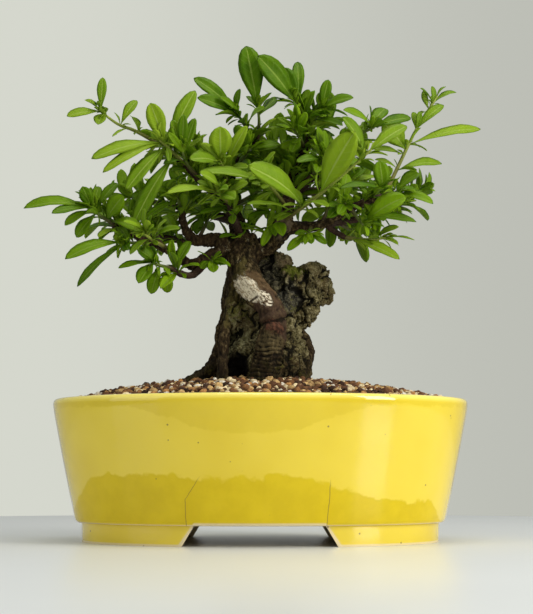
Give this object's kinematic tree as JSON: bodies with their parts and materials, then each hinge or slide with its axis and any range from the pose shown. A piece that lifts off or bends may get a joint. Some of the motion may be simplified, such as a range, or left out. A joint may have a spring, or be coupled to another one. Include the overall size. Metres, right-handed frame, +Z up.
{
  "type": "firethorn bonsai",
  "caption": "Small evergreen shrub trained as a bonsai, its roots clasping a rock, in a glazed oval pot filled with grit on two end feet.",
  "frame": {"origin": "on the surface that the pot stands on, under the middle of the pot", "axes": "+Z up, X along the pot's long side, -Y towards the front of the tree"},
  "size_m": [0.312, 0.21, 0.338],
  "materials": {
    "pot_glaze": "gloss",
    "soil": "matte",
    "rock": "matte",
    "bark": "matte",
    "leaf_mature": "satin",
    "leaf_young": "satin",
    "screen": "matte"
  },
  "bodies": {
    "root": {"pot": "pot_glaze", "drain_screen_left": "screen", "drain_screen_right": "screen", "soil": "soil", "rock": "rock", "wood": "bark", "spray_far_left_shoot": "leaf_young", "spray_upper_left": "leaf_young", "spray_left_bud": "leaf_mature", "spray_left_end": "leaf_mature", "spray_left_low": "leaf_mature", "spray_lower_left": "leaf_mature", "spray_left_mid": "leaf_young", "spray_under_left": "leaf_mature", "spray_left_inner": "leaf_mature", "spray_front_left": "leaf_young", "spray_mid_left": "leaf_young", "spray_top_left": "leaf_mature", "spray_top_tall": "leaf_mature", "spray_top_apex": "leaf_mature", "spray_top_right": "leaf_mature", "spray_right_top": "leaf_mature", "spray_front_shoot": "leaf_young", "spray_right_shoot": "leaf_young", "spray_right_end": "leaf_mature", "spray_right_big": "leaf_mature", "spray_right_low": "leaf_young", "spray_under_right": "leaf_mature", "spray_centre_high": "leaf_mature", "spray_centre_front": "leaf_young", "spray_centre_right": "leaf_mature", "spray_centre_middle": "leaf_mature", "spray_centre_deep": "leaf_mature", "spray_right_inner": "leaf_mature", "spray_right_front": "leaf_mature", "spray_right_upper": "leaf_mature", "spray_apex_back": "leaf_mature", "spray_apex_left": "leaf_mature", "spray_apex_front": "leaf_mature", "spray_left_limb_back": "leaf_mature", "spray_left_limb_side": "leaf_mature", "spray_back_left_end": "leaf_mature", "spray_back_left_mid": "leaf_mature", "spray_back_end": "leaf_mature", "spray_back_mid": "leaf_mature", "spray_back_mid_low": "leaf_mature", "spray_back_right_end": "leaf_mature", "spray_back_right_mid": "leaf_mature", "spray_back_right_low": "leaf_mature", "spray_low_left_end": "leaf_mature", "spray_low_left_back": "leaf_mature", "spray_low_left_up": "leaf_mature", "spray_low_right_end": "leaf_mature", "spray_low_right_back": "leaf_mature", "spray_low_right_front": "leaf_mature", "spray_left_branch_top": "leaf_mature", "spray_left_long_top": "leaf_mature"}
  },
  "joints": []
}
